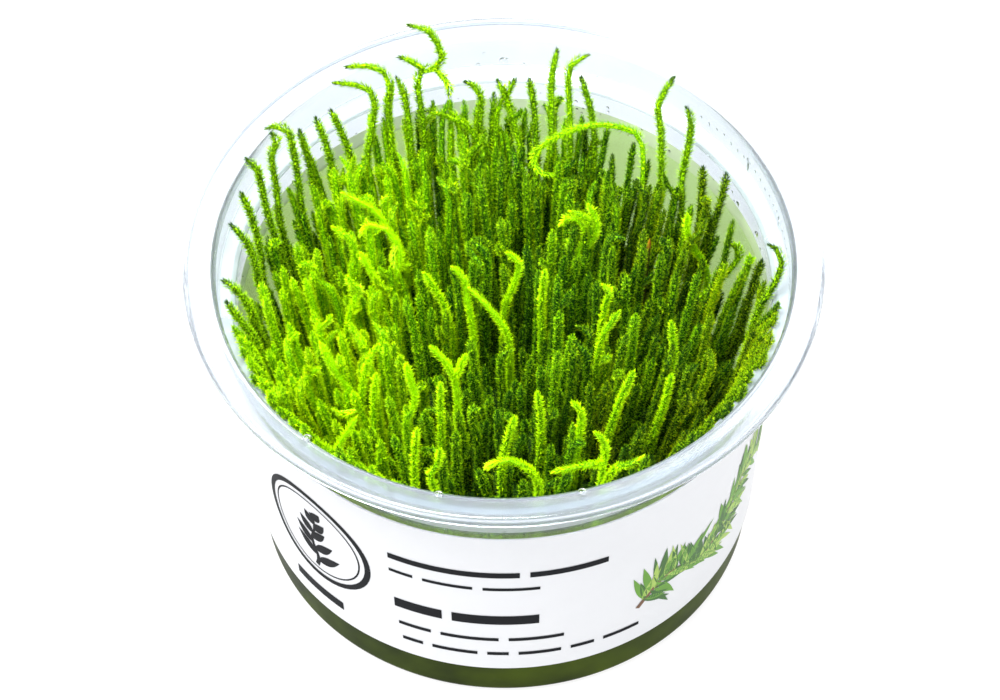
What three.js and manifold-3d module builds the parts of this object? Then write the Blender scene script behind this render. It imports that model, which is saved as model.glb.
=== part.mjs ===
// Tissue-cultured flame moss growing in its round plastic cup.
// Millimetres, +Z up. The cup stands on z = 0 and its axis is the Z axis; the front is towards -Y.
import * as THREE from "three";
import { mergeVertices } from "three/addons/utils/BufferGeometryUtils.js";
import Module from "manifold-3d";

const wasm = await Module();
wasm.setup();

// Cup
const CUP_HEIGHT = 63;
const RIM_RADIUS = 50.5;
const LIP_RADIUS = 46.6; // inner edge of the flat flange
const COLLAR_RADIUS = 45.9; // outside of the short collar under the flange
const SHOULDER_RADIUS = 43.3; // outside of the tapered wall, where the ledge starts
const BASE_RADIUS = 40.3; // outside of the tapered wall, were it carried down to the ground
const SHOULDER_HEIGHT = 55.3;
const LEDGE_RISE = 1.3;
const SKIRT_DROP = 1.9; // how far the flange's edge is turned down
const CORNER_RADIUS = 1.7;
const FOOT_WIDTH = 3.4;
const FOOT_RECESS = 0.8;
const WALL = 0.85;
const CUP_SEGMENTS = 36; // sides of the cup, the label and the gel

// Label
const LABEL_BOTTOM = 8.5;
const LABEL_TOP = 47.7;
const LABEL_THICKNESS = 0.25;

// Gel and moss
const GEL_TOP = 9.3;
const MENISCUS = 0.9;
const MAT_TOP = 42; // top of the close mat that the shoots rise from
const MOSS_REACH = 41.4; // how far from the axis the shoots stand at the front and the left
const BACK_GAP = 5; // how much less they reach towards the bare stretch at the back right
const BACK_GAP_ANGLE = THREE.MathUtils.degToRad(62);
const ROOT_SHARE = 0.86; // shoots fan out: their roots stand at this share of their tips' radius
const ROOT_HEIGHT = 38;
const TURF_TIPS = 60.5; // mean height of the shoots' tips on the axis
const TURF_SLOPE = 0.075; // how much taller they are towards the back, per millimetre
const TURF_SHOOTS = 74;
const TURF_RADIUS = 1.6;
const MAT_SEGMENTS = 26; // sides of the mat
const SHOOT_RADIUS = 1;
const SHOOT_TIP_RADIUS = 0.75;
const GAP = 0.3; // between pieces that touch
const GOLDEN_ANGLE = Math.PI * (3 - Math.sqrt(5));

// Shoots that stand out, each a piece of its own: a route from where it leaves the turf to its tip.
const STANDING_SHOOTS = {
  ring_shoot: [
    [-12.5, 31, 52.5], [-13, 33, 59], [-13.5, 34.5, 63], [-13.5, 35.5, 65.5], [-11.5, 36, 67],
    [-9.5, 35.5, 65.5], [-8.5, 34.5, 63.5], [-8.5, 34, 62],
  ],
  diagonal_shoot: [
    [-1.5, 28.5, 49.5], [-3.5, 30, 54], [-5, 31, 57], [-7, 31.2, 59.2], [-9.5, 31.5, 60.5],
    [-12.5, 31.5, 61.5],
  ],
  small_hook: [
    [-4, 32, 51.5], [-3.5, 33.5, 58], [-3.5, 34.5, 62], [-4.5, 35, 63.5], [-6, 35, 64.5],
  ],
  long_hook: [
    [-17.5, 27.5, 50], [-18.5, 32, 62], [-18, 33, 66], [-18.5, 34, 67.5], [-20, 34.5, 68.7],
    [-22.5, 34.5, 69.3], [-25, 34.5, 69],
  ],
  low_hook: [
    [-22, 27.5, 53], [-21, 29.5, 60], [-20.5, 31, 65], [-21.5, 32, 66.5], [-24, 32.3, 67.3],
    [-27, 32.5, 67.5],
  ],
  twin_tip: [[-14.8, 28.8, 52], [-15, 31, 58], [-15.5, 32.5, 62], [-16, 33.2, 65], [-17, 34, 67]],
  fork_left: [[-1, 30.5, 51.5], [-1, 32.3, 56], [-0.8, 33.3, 59], [0.2, 34, 61.8]],
  fork_right: [[3, 30.5, 51.5], [2.2, 32, 56], [1.2, 33.5, 59.5], [0.5, 34, 62], [-0.7, 35, 65]],
  straight_shoot: [[5.5, 30.5, 51.5], [5.3, 33, 58], [4.8, 34.5, 62.5], [4.5, 35, 65]],
  cluster_left: [[8, 29.5, 52.5], [8, 32.5, 58.5], [8, 34, 62.5], [8.2, 35.5, 66], [9, 37.5, 69.5]],
  cluster_middle: [
    [11, 28, 53.5], [11, 31, 60], [10.8, 33, 64], [10.8, 34.6, 67.5], [11.8, 35.2, 69],
    [14, 35.7, 70],
  ],
  cluster_right: [[15, 29.5, 52.5], [14.5, 32.5, 59.5], [13.5, 34, 63], [12.8, 35, 65.5]],
  long_curl: [
    [22.5, 23.5, 50], [22.8, 25.5, 55.5], [22, 27.5, 59.5], [19, 28, 61], [16, 28, 61.7],
    [13, 27.6, 61.7], [9.5, 27, 60.5], [6.5, 26, 59], [5, 25, 57], [6, 23.5, 55], [9, 23, 55],
  ],
  right_tall: [
    [25.5, 22.5, 50], [25.7, 24.5, 56], [25.5, 26.5, 62], [25, 28, 66], [26, 29, 68.5],
    [27.5, 30, 71],
  ],
  right_thin: [[29, 20.5, 49], [29, 23, 54], [30, 25, 60], [30.3, 26.5, 64.5], [29.5, 27.5, 66.5]],
  right_blunt: [[31.5, 17.5, 45.5], [32, 20, 51], [32.2, 21, 54.5], [32.2, 21.7, 58.5]],
  right_leaning: [[33, 14, 45.5], [34, 15.7, 51], [35.3, 17.5, 56.5], [35.8, 18.5, 60.5]],
  right_curl: [
    [30, 6, 41], [33.5, 7.5, 45], [36, 8.5, 47.7], [37.7, 9.5, 50], [37.7, 10, 52], [36, 10, 53.5],
  ],
  right_bright: [
    [33, 11.5, 43], [32, 12.2, 46.5], [30.5, 12.5, 49.5], [29.5, 13, 53], [29.5, 13.5, 56.5],
  ],
  rim_hook_right: [
    [39, -6, 49], [40, -4.5, 54], [42.3, -3, 58.5], [43.7, -1.5, 62], [43.3, -0.3, 64],
    [41.5, 0.5, 65],
  ],
  rim_straight_right: [[38.5, 1.5, 44.5], [39.3, 2.3, 49], [40, 3, 53], [41, 3.5, 57]],
  left_hook: [
    [-32.5, 19.5, 51.5], [-33, 21.5, 58], [-33.5, 22.5, 63], [-34, 23.2, 66], [-35.3, 23.5, 67.7],
    [-37.7, 23.5, 67],
  ],
  left_kinked: [
    [-36, 16.8, 51.5], [-36.3, 18.8, 57.5], [-36.8, 20, 62], [-36.8, 20.8, 64.7],
    [-35.8, 21.2, 66.5], [-36.7, 21.2, 68.5],
  ],
  left_lean_back: [
    [-36.5, 12.5, 52], [-37.7, 14, 58], [-38.5, 15.5, 63], [-39, 16, 66], [-40.7, 16.5, 68],
  ],
  left_lean_middle: [
    [-38.5, 7.5, 46], [-38.9, 9.5, 53], [-39.5, 10.5, 57.5], [-40.5, 11.3, 62], [-41.5, 12, 65],
  ],
  left_lean_front: [[-39, 3.5, 53], [-39.6, 4.5, 58], [-40.7, 5, 61.5], [-43, 6, 64.5]],
  left_low_back: [[-39, -4.3, 50], [-40.2, -4.3, 56.5], [-42, -4, 60.5], [-44, -4, 63]],
  left_low_front: [[-38.5, -9, 48], [-39.4, -8.8, 54], [-41.5, -8.6, 59], [-43.3, -8.3, 63]],
  left_tip_front: [[-30.5, 23.5, 51], [-31.3, 25, 57], [-32.5, 26, 63.5]],
  left_tip_middle: [[-27.5, 26.7, 52], [-28.7, 28, 58.5], [-30, 29, 63]],
  left_tip_back: [[-24.5, 28.7, 52], [-26, 30, 58], [-27.7, 31, 62.5]],
  curl_head: [
    [-17, 5.5, 52], [-16.5, 6, 56], [-17.5, 7, 59.5], [-19, 7.5, 61.5], [-21.5, 7.5, 62],
    [-22.7, 7, 60],
  ],
  knob_head: [[-16.5, 11, 51], [-20.5, 12.5, 59.5], [-23, 12.5, 62], [-25.5, 13, 63.5]],
  zigzag_shoot: [
    [-19, 0.5, 46], [-19.5, 1, 51.5], [-19.7, 1.5, 54.5], [-21, 1.7, 57.5], [-22.5, 2, 62],
  ],
  crooked_shoot: [[-5, -3.5, 49], [-5.5, -3, 53.5], [-6, -2, 57], [-6.3, -1.5, 59.7], [-8, -1, 62]],
  crooked_fork: [[0.5, -7, 52], [-1, -6.5, 55.5], [-3, -5.2, 58], [-5.5, -3.5, 59.8]],
  bent_tip: [[0, 0.5, 46], [0.3, 1, 50], [1.5, 1.2, 54], [2.4, 2, 59], [0.5, 2, 61.7]],
  plume_shoot: [
    [11, 6.5, 43], [11.5, 7.7, 49], [12, 8.5, 53], [13, 9, 56.5], [12.3, 9.5, 60], [10.3, 9.7, 61],
    [9, 9.5, 59],
  ],
  sabre_shoot: [
    [-24, -18.5, 46], [-24, -18, 50.5], [-25, -17.5, 54], [-26.5, -17.3, 57], [-28.5, -16.5, 63],
  ],
  sabre_leg: [[-26.5, -29, 50], [-25, -28.7, 55], [-23, -28, 59]],
  twisted_shoot: [
    [-15.8, -22, 45], [-15, -21, 50], [-14, -20.5, 54], [-14.7, -20, 58], [-15.2, -20, 62],
  ],
  vee_left: [
    [-7.5, -18, 46], [-7.5, -17.5, 51], [-8, -17, 54.5], [-9.3, -17, 58.5], [-11.5, -16.5, 61.7],
  ],
  front_arch: [
    [5, -35, 47], [5, -36, 52], [4, -36.5, 56], [2.3, -37, 58.8], [0, -37, 60], [-2, -37, 59],
    [-3.2, -36.5, 57],
  ],
  front_head: [[11, -27.5, 47], [11.5, -27, 53], [11.7, -26.5, 58], [10.3, -26.5, 60.5]],
  front_hook: [
    [14.5, -35, 49], [15, -34.5, 54.5], [15.3, -34.3, 58], [15, -34, 60.5], [13.7, -33.7, 62.3],
  ],
};

// Branches of those shoots: a route from the fork to the branch's tip.
const FORKED_BRANCHES = {
  ring_hook: [
    [-11, 36, 66.5], [-9.5, 36.5, 68.5], [-10, 37, 70.5], [-10.5, 37.5, 72], [-12, 38, 74],
    [-15, 38.5, 74.5],
  ],
  ring_branch: [[-12.5, 36, 66.5], [-14.5, 36.5, 68], [-16.5, 36.5, 69]],
  fork_right_tip: [[0.7, 34, 61.5], [1.3, 34.5, 63.3], [2.3, 35, 65.2]],
  plume_branch: [[12.3, 8.6, 54], [14.7, 9.2, 56.7], [14.7, 10, 60], [13.5, 10.5, 63]],
  vee_right: [[-7.9, -17.2, 54], [-7, -17.5, 57.5], [-6, -17.5, 61]],
  front_flat: [[15, -36.5, 58], [13, -38, 60], [10, -39, 60.5], [7, -39.5, 60]],
};

// Other shoots with a shape of their own, which grow through the turf and are part of it.
const TURF_ROUTES = [
  [[-23.5, 4.5, 46.5], [-23.5, 5.5, 57], [-27, 6.5, 63]],
  [[-25, -3.5, 46.5], [-23.5, -2.5, 56], [-24.5, -2, 61]],
  [[-8.5, -2.5, 47.5], [-10, -1.5, 54.5], [-12.5, -1, 60.5]],
  [[6, -3, 46], [6, -2, 54.5], [6.5, -1.5, 61.5]],
  [[15, -5.5, 47], [16, -5, 57], [15.5, -4.5, 61.5]],
  [[14.5, -11, 48], [15.5, -10, 55.5], [18, -9, 60.5]],
  [[-22, -19.5, 42], [-22.5, -18, 50.5], [-19.5, -16.5, 62.5]],
  [[-20.5, -22, 42], [-20.5, -20.5, 52], [-20, -20, 59.5]],
  [[-14, -33.5, 45], [-14, -32.5, 56], [-13.5, -32, 61.5]],
  [[-10, -25, 45], [-10, -24, 54], [-10, -23, 61]],
  [[-10.5, -37, 50], [-11.5, -36.5, 56], [-10, -36, 61.5]],
  [[-0.5, -29.5, 48], [0.3, -29, 54], [1.5, -28.5, 59.5]],
  [[5.5, -25, 44], [5.5, -24, 54.5], [5, -23.5, 59]],
  [[15, -36, 50], [17, -37.5, 58.5], [21, -37, 60.5]],
  [[16, -21.5, 43.5], [18, -20.7, 53], [20, -20, 59.5]],
  [[23.5, -20, 43], [25, -19.2, 50], [26, -18.5, 56.5]],
  [[25.5, -13, 45], [26.5, -12.5, 54], [26, -11.5, 61]],
];

const materials = {
  cup: { color: 0xe9eeee, roughness: 0.25, transparent: true, opacity: 0.35 },
  label: { color: 0xf1f2f4, roughness: 0.55 },
  gel: { color: 0x5d7416, roughness: 0.3 },
  turf: { color: 0x3f8a08, roughness: 0.85 },
  shoot: { color: 0x9ed810, roughness: 0.8 },
};

// A repeatable spread of numbers between 0 and 1.
function scatter(n) {
  const s = Math.sin(n * 12.9898) * 43758.5453;
  return s - Math.floor(s);
}

function wallRadius(height) {
  return BASE_RADIUS + ((SHOULDER_RADIUS - BASE_RADIUS) * height) / SHOULDER_HEIGHT;
}

// Points of an arc in the profile plane, from one angle to another in degrees.
function arc(centreR, centreZ, radius, from, to, steps) {
  return Array.from({ length: steps + 1 }, (_, i) => {
    const a = THREE.MathUtils.degToRad(from + ((to - from) * i) / steps);
    return [centreR + radius * Math.cos(a), centreZ + radius * Math.sin(a)];
  });
}

function lathe(profile, segments = CUP_SEGMENTS) {
  const points = profile.map(([r, z]) => new THREE.Vector2(Math.max(r, 0), z));
  return new THREE.LatheGeometry(points, segments).rotateX(Math.PI / 2);
}

function cupGeometry() {
  const corner = wallRadius(CORNER_RADIUS) - CORNER_RADIUS;
  const floor = FOOT_RECESS + WALL;
  const insideCorner = CORNER_RADIUS - WALL;
  const footInside = corner - FOOT_WIDTH;
  const ledgeTop = SHOULDER_HEIGHT + LEDGE_RISE;
  const flangeUnder = CUP_HEIGHT - WALL;
  const skirtRadius = RIM_RADIUS - WALL;
  const skirtBottom = CUP_HEIGHT - SKIRT_DROP;
  const outside = [
    [0, FOOT_RECESS],
    [footInside - 0.6, FOOT_RECESS],
    [footInside, 0],
    ...arc(corner, CORNER_RADIUS, CORNER_RADIUS, -90, -2, 3),
    [SHOULDER_RADIUS, SHOULDER_HEIGHT],
    [COLLAR_RADIUS, ledgeTop],
    [COLLAR_RADIUS + 0.3, flangeUnder],
    [skirtRadius, flangeUnder],
    [skirtRadius, skirtBottom],
    [RIM_RADIUS, skirtBottom],
    [RIM_RADIUS, CUP_HEIGHT - 0.5],
    [RIM_RADIUS - 0.5, CUP_HEIGHT],
  ];
  const inside = [
    [LIP_RADIUS, CUP_HEIGHT],
    [COLLAR_RADIUS - 0.1, CUP_HEIGHT - 0.6],
    [COLLAR_RADIUS - 0.6, CUP_HEIGHT - 2],
    [COLLAR_RADIUS - WALL, ledgeTop + WALL / 2],
    [SHOULDER_RADIUS - WALL, SHOULDER_HEIGHT + WALL / 2],
    ...arc(corner, floor + insideCorner, insideCorner, -2, -90, 2),
    [0, floor],
  ];
  return lathe([...outside, ...inside]);
}

function labelGeometry() {
  const near = (z) => wallRadius(z) + GAP;
  return lathe([
    [near(LABEL_BOTTOM), LABEL_BOTTOM],
    [near(LABEL_BOTTOM) + LABEL_THICKNESS, LABEL_BOTTOM],
    [near(LABEL_TOP) + LABEL_THICKNESS, LABEL_TOP],
    [near(LABEL_TOP), LABEL_TOP],
    [near(LABEL_BOTTOM), LABEL_BOTTOM],
  ]);
}

function gelGeometry() {
  const clear = WALL + GAP;
  const bottom = FOOT_RECESS + WALL + GAP;
  const corner = wallRadius(CORNER_RADIUS) - CORNER_RADIUS;
  return lathe([
    [0, bottom],
    ...arc(corner, FOOT_RECESS + CORNER_RADIUS, CORNER_RADIUS - clear, -90, -2, 2),
    [wallRadius(GEL_TOP + MENISCUS) - clear, GEL_TOP + MENISCUS],
    [wallRadius(GEL_TOP) - clear - 1, GEL_TOP],
    [0, GEL_TOP],
  ]);
}

// How far out the shoots stand at an angle round the cup.
function mossReach(angle) {
  const facing = Math.max(0, Math.cos(angle - BACK_GAP_ANGLE));
  return MOSS_REACH - BACK_GAP * facing * facing;
}

function matGeometry() {
  const profile = [
    [0, GEL_TOP + GAP],
    [0.9, GEL_TOP + GAP],
    [0.955, 18],
    [0.96, MAT_TOP - 6],
    [0.93, MAT_TOP - 3],
    [0.86, MAT_TOP - 1],
    [0.5, MAT_TOP],
    [0, MAT_TOP - 0.5],
  ];
  const geometry = lathe(profile, MAT_SEGMENTS);
  const position = geometry.getAttribute("position");
  for (let i = 0; i < position.count; i++) {
    const x = position.getX(i);
    const y = position.getY(i);
    const z = position.getZ(i);
    const reach = mossReach(Math.atan2(y, x));
    const lump = 1 + 0.02 * Math.sin(9 * x + 0.7 * z) * Math.sin(11 * y);
    const rise = z > ROOT_HEIGHT ? 0.9 * Math.sin(13 * x) * Math.cos(17 * y) : 0;
    const room = (wallRadius(z) - WALL) * Math.cos(Math.PI / CUP_SEGMENTS) - GAP;
    const scale = Math.min(reach * lump, room / Math.max(Math.hypot(x, y), 0.01));
    position.setXYZ(i, x * scale, y * scale, z + rise);
  }
  return geometry;
}

// A tapering shoot along a route, with a blunt tip. Extra makes it fatter and longer all round.
function shootGeometry(route, { root, tip, sides, steps, extra = 0 }) {
  const curve = new THREE.CatmullRomCurve3(route.map((p) => new THREE.Vector3(...p)));
  const frames = curve.computeFrenetFrames(steps, false);
  const vertices = [];
  const faces = [];
  for (let k = 0; k <= steps; k++) {
    const along = k / steps;
    const radius = THREE.MathUtils.lerp(root, tip, along) + extra;
    const centre = curve.getPointAt(along);
    if (k === 0) centre.addScaledVector(frames.tangents[0], -extra);
    for (let s = 0; s < sides; s++) {
      const a = (2 * Math.PI * s) / sides;
      const p = centre.clone();
      p.addScaledVector(frames.normals[k], radius * Math.cos(a));
      p.addScaledVector(frames.binormals[k], radius * Math.sin(a));
      vertices.push(p.x, p.y, p.z);
    }
  }
  const end = curve.getPointAt(1).addScaledVector(frames.tangents[steps], tip + extra);
  const ring = (k, s) => k * sides + (s % sides);
  const last = (steps + 1) * sides;
  vertices.push(end.x, end.y, end.z);
  for (let s = 0; s < sides; s++) {
    for (let k = 0; k < steps; k++) {
      faces.push(ring(k, s), ring(k, s + 1), ring(k + 1, s + 1));
      faces.push(ring(k, s), ring(k + 1, s + 1), ring(k + 1, s));
    }
    faces.push(ring(steps, s), ring(steps, s + 1), last);
    if (s > 1) faces.push(ring(0, 0), ring(0, s), ring(0, s - 1));
  }
  const geometry = new THREE.BufferGeometry();
  geometry.setAttribute("position", new THREE.Float32BufferAttribute(vertices, 3));
  geometry.setIndex(faces);
  return geometry;
}

function toSolid(geometry) {
  const bare = geometry.clone();
  bare.deleteAttribute("normal");
  bare.deleteAttribute("uv");
  const merged = mergeVertices(bare, 1e-4);
  return new wasm.Manifold(
    new wasm.Mesh({
      numProp: 3,
      vertProperties: new Float32Array(merged.getAttribute("position").array),
      triVerts: new Uint32Array(merged.index.array),
    }),
  );
}

function toGeometry(solid) {
  const mesh = solid.getMesh();
  const geometry = new THREE.BufferGeometry();
  geometry.setAttribute("position", new THREE.BufferAttribute(mesh.vertProperties, 3));
  geometry.setIndex(new THREE.BufferAttribute(mesh.triVerts, 1));
  geometry.computeVertexNormals();
  return geometry;
}

// The largest body of a solid, without the crumbs that a cut can leave.
function largestBody(solid) {
  return solid.decompose().reduce((a, b) => (b.volume() > a.volume() ? b : a));
}

// A standing shoot's route goes on down into the mat, nearer to the axis.
function rooted(route) {
  const [x, y, z] = route[0];
  const inward = 1 - (1 - ROOT_SHARE) * ((z - ROOT_HEIGHT) / (TURF_TIPS - ROOT_HEIGHT));
  return [[x * inward, y * inward, ROOT_HEIGHT + 1], ...route];
}

function standingShoot(route, extra) {
  const length = new THREE.CatmullRomCurve3(route.map((p) => new THREE.Vector3(...p))).getLength();
  const steps = Math.min(8, Math.max(3, Math.round(length / 5)));
  return toSolid(
    shootGeometry(route, { root: SHOOT_RADIUS, tip: SHOOT_TIP_RADIUS, sides: 4, steps, extra }),
  );
}

// An ordinary shoot of the turf: spread evenly by the golden angle, fanning out as it rises.
function turfRoute(i) {
  const angle = i * GOLDEN_ANGLE;
  const share = Math.sqrt((i + 0.5) / TURF_SHOOTS);
  const out = mossReach(angle) * share * 0.975;
  const across = [Math.cos(angle), Math.sin(angle)];
  const sway = [1.6 * (scatter(i) - 0.5), 1.6 * (scatter(i + 500) - 0.5)];
  const height = TURF_TIPS + TURF_SLOPE * out * across[1] + 6 * (scatter(i + 900) - 0.5);
  const at = (inward, swayed, z) => [
    across[0] * out * inward + sway[0] * swayed,
    across[1] * out * inward + sway[1] * swayed,
    z,
  ];
  return [
    at(ROOT_SHARE, 0, ROOT_HEIGHT),
    at((1 + ROOT_SHARE) / 2, 1, (ROOT_HEIGHT + height) / 2),
    at(1, 0, height),
  ];
}

const turfSize = { root: TURF_RADIUS, tip: SHOOT_TIP_RADIUS, sides: 4, steps: 2 };
const shoots = new Map();
const sockets = [];
const standing = Object.entries(STANDING_SHOOTS).map(([name, route]) => [name, rooted(route)]);
for (const [name, route] of [...standing, ...Object.entries(FORKED_BRANCHES)]) {
  let solid = standingShoot(route, 0);
  for (const socket of sockets) solid = solid.subtract(socket);
  shoots.set(name, largestBody(solid));
  sockets.push(standingShoot(route, GAP));
}

let turf = toSolid(matGeometry());
const turfRoutes = Array.from({ length: TURF_SHOOTS }, (_, i) => turfRoute(i));
for (const route of [...turfRoutes, ...TURF_ROUTES.map(rooted)]) {
  const shoot = toSolid(shootGeometry(route, turfSize));
  const above = shoot.trimByPlane([0, 0, 1], MAT_TOP);
  const blocked = sockets.some((socket) => above.intersect(socket).volume() > 0.05);
  if (!blocked) turf = turf.add(shoot);
}
for (const socket of sockets) turf = turf.subtract(socket);

const flameMoss = new THREE.Group();
const cup = new THREE.Group();
const moss = new THREE.Group();
flameMoss.add(cup, moss);

function addPiece(group, name, geometry, material) {
  const mesh = new THREE.Mesh(geometry, new THREE.MeshStandardMaterial(materials[material]));
  mesh.name = name;
  group.add(mesh);
}

addPiece(cup, "cup", cupGeometry(), "cup");
addPiece(cup, "label", labelGeometry(), "label");
addPiece(cup, "gel", gelGeometry(), "gel");
addPiece(moss, "moss_turf", toGeometry(largestBody(turf)), "turf");
for (const [name, solid] of shoots) addPiece(moss, name, toGeometry(solid), "shoot");

export default flameMoss;
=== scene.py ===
# Flame moss in its clear cup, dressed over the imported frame.
# Shapes are worked out in millimetres and turned into metres when a mesh is made.
import math

import bpy
import numpy as np
from mathutils import Matrix, Vector


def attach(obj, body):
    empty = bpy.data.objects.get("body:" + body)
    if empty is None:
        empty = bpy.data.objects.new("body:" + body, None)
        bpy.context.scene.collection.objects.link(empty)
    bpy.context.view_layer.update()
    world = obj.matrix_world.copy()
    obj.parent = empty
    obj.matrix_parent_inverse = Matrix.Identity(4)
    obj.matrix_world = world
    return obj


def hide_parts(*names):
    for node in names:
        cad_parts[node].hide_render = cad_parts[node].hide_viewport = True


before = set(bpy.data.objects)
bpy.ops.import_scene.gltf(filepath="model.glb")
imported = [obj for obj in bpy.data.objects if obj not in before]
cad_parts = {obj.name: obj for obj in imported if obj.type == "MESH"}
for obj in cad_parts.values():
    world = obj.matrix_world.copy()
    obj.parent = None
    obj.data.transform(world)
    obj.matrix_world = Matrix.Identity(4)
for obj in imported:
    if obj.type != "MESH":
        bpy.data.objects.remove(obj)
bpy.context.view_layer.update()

scene = bpy.context.scene
MM = 0.001
GOLDEN_ANGLE = math.pi * (3 - math.sqrt(5))
chance = np.random.default_rng(7)

# Sizes of the cup, the label, the gel and the moss
CUP_HEIGHT = 63
RIM_RADIUS = 50.5
LIP_RADIUS = 46.6
COLLAR_RADIUS = 45.9
SHOULDER_RADIUS = 43.3
BASE_RADIUS = 40.3
SHOULDER_HEIGHT = 55.3
LEDGE_RISE = 1.3
SKIRT_DROP = 1.9
CORNER_RADIUS = 1.7
FOOT_WIDTH = 3.4
FOOT_RECESS = 0.8
WALL = 0.85
LABEL_BOTTOM = 8.5
LABEL_TOP = 47.7
LABEL_THICKNESS = 0.25
GEL_TOP = 9.3
MIST_BOTTOM = 48.6
MIST_TOP = 51.8
MENISCUS = 0.9
MOSS_REACH = 41.4
BACK_GAP = 5
BACK_GAP_ANGLE = math.radians(62)
ROOT_SHARE = 0.85
ROOT_HEIGHT = 27
TURF_TIPS = 60.5
TURF_SLOPE = 0.075
MAT_HEIGHT = 30
BACK_LEAN = 0.12
GAP = 0.3
LIGHT_THROUGH_FILM = 0.9

# Camera
CAMERA_LENS = 162
CAMERA_TARGET = Vector((-0.00071, 0, 0.0389))
CAMERA_DISTANCE = 0.7258
CAMERA_ELEVATION = math.radians(52.865)
CAMERA_ROLL = math.radians(-0.583)


def add_object(name, data):
    made = bpy.data.objects.new(name, data)
    scene.collection.objects.link(made)
    return made


def place_camera():
    """The photograph's viewpoint: high in front, with a very slight roll."""
    camera = add_object("camera", bpy.data.cameras.new("camera"))
    camera.data.lens = CAMERA_LENS
    camera.data.sensor_width = 36
    camera.data.clip_start = 0.01
    tilt = Matrix.Rotation(math.pi / 2 - CAMERA_ELEVATION, 4, "X")
    roll = Matrix.Rotation(CAMERA_ROLL, 4, "Z")
    back = Matrix.Translation((0, 0, CAMERA_DISTANCE))
    camera.matrix_world = Matrix.Translation(CAMERA_TARGET) @ tilt @ roll @ back
    scene.camera = camera


place_camera()


# Shader nodes. A node's input takes a plain value, or another node's output.

FLOAT = "NodeSocketFloat"
COLOUR = "NodeSocketColor"
HAZE_SCALE = 400.0
BLOTCH_SCALE = 170.0
BLOTCH_DEPTH = 0.2
GLINT_SPECK_SCALE = 3200.0
OLD_TINT = (1.0, 0.6, 0.3)


def add_node(tree, kind, inputs=None, **settings):
    """A shader node with its settings, and its inputs set or linked."""
    node = tree.nodes.new(kind)
    for name, value in settings.items():
        setattr(node, name, value)
    feed(tree, node, inputs or {})
    return node


def feed(tree, node, inputs):
    for name, value in inputs.items():
        if isinstance(value, bpy.types.NodeSocket):
            tree.links.new(value, node.inputs[name])
        else:
            node.inputs[name].default_value = value


def object_place(tree):
    return add_node(tree, "ShaderNodeTexCoord").outputs["Object"]


def noise(tree, scale, detail=2.0):
    """Cloudy noise from 0 to 1, laid out on the object itself."""
    inputs = {"Vector": object_place(tree), "Scale": scale, "Detail": detail}
    return add_node(tree, "ShaderNodeTexNoise", inputs).outputs["Fac"]


def maths(tree, operation, *numbers):
    inputs = dict(enumerate(numbers))
    return add_node(tree, "ShaderNodeMath", inputs, operation=operation).outputs[0]


def stretched(tree, value, low, high, to_low=0.0, to_high=1.0):
    """A value carried from one range over to another, and kept inside it."""
    inputs = {"Value": value, "From Min": low, "From Max": high, "To Min": to_low, "To Max": to_high}
    return add_node(tree, "ShaderNodeMapRange", inputs).outputs[0]


def mixed(tree, share, first, second, how="MIX"):
    """A mix of two colours, each given by its red, green and blue or as an output."""
    first, second = [(*c, 1) if isinstance(c, tuple) else c for c in (first, second)]
    inputs = {"Factor": share, "A": first, "B": second}
    return add_node(tree, "ShaderNodeMix", inputs, data_type="RGBA", blend_type=how).outputs["Result"]


def bumped(tree, height, strength, distance):
    inputs = {"Height": height, "Strength": strength, "Distance": distance}
    return add_node(tree, "ShaderNodeBump", inputs).outputs["Normal"]


def start_group(name, inputs, outputs):
    """A shader node group with named sockets, and its two end nodes."""
    group = bpy.data.node_groups.new(name, "ShaderNodeTree")
    for in_out, sockets in (("INPUT", inputs), ("OUTPUT", outputs)):
        for socket, kind in sockets.items():
            group.interface.new_socket(name=socket, in_out=in_out, socket_type=kind)
    given = group.nodes.new("NodeGroupInput")
    return group, given.outputs, group.nodes.new("NodeGroupOutput")


def use_group(tree, group, values):
    """A group's outputs in a material, made with the values given."""
    node = tree.nodes.new("ShaderNodeGroup")
    node.node_tree = group
    feed(tree, node, values)
    return node.outputs


def moulding_group():
    """Fine unevenness of a moulded or poured surface: a soft wave and a faint haze over it."""
    group, given, out = start_group(
        "moulded surface",
        {"Wave Scale": FLOAT, "Haze": FLOAT},
        {"Height": FLOAT, "Roughness Shift": FLOAT},
    )
    wave = noise(group, given["Wave Scale"], 1.0)
    haze = maths(group, "SUBTRACT", noise(group, HAZE_SCALE, 3.0), 0.5)
    shift = maths(group, "MULTIPLY", haze, given["Haze"])
    feed(group, out, {"Height": wave, "Roughness Shift": shift})
    return group


def moss_green_group():
    """The green of a moss leaf, from deep shade to lime, from the light value kept on each leaf, with fine
    specks of painted glints added to that light.
    """
    group, given, out = start_group(
        "moss green",
        {"Shade": COLOUR, "Body": COLOUR, "Lime": COLOUR, "Glint Speck": FLOAT},
        {"Colour": COLOUR, "Roughness": FLOAT},
    )
    light = add_node(group, "ShaderNodeAttribute", attribute_name="leaf_light").outputs["Fac"]
    age = add_node(group, "ShaderNodeAttribute", attribute_name="leaf_age").outputs["Fac"]
    blotch = maths(group, "SUBTRACT", noise(group, BLOTCH_SCALE), 0.5)
    # Painted glints: fine specks that lift the light value, and lower it a little between them.
    glint_speck = stretched(group, noise(group, GLINT_SPECK_SCALE, 1.0), 0.47, 0.66)
    glint_speck = maths(group, "SUBTRACT", glint_speck, 0.35)
    light = maths(group, "MULTIPLY_ADD", blotch, BLOTCH_DEPTH, light)
    light = maths(group, "MULTIPLY_ADD", glint_speck, given["Glint Speck"], light)
    dark = mixed(group, stretched(group, light, 0.0, 0.5), given["Shade"], given["Body"])
    green = mixed(group, stretched(group, light, 0.5, 1.0), dark, given["Lime"])
    old = mixed(group, age, green, OLD_TINT, "MULTIPLY")
    gloss = stretched(group, light, 0.0, 1.0, 0.7, 0.5)
    feed(group, out, {"Colour": old, "Roughness": gloss})
    return group


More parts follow.
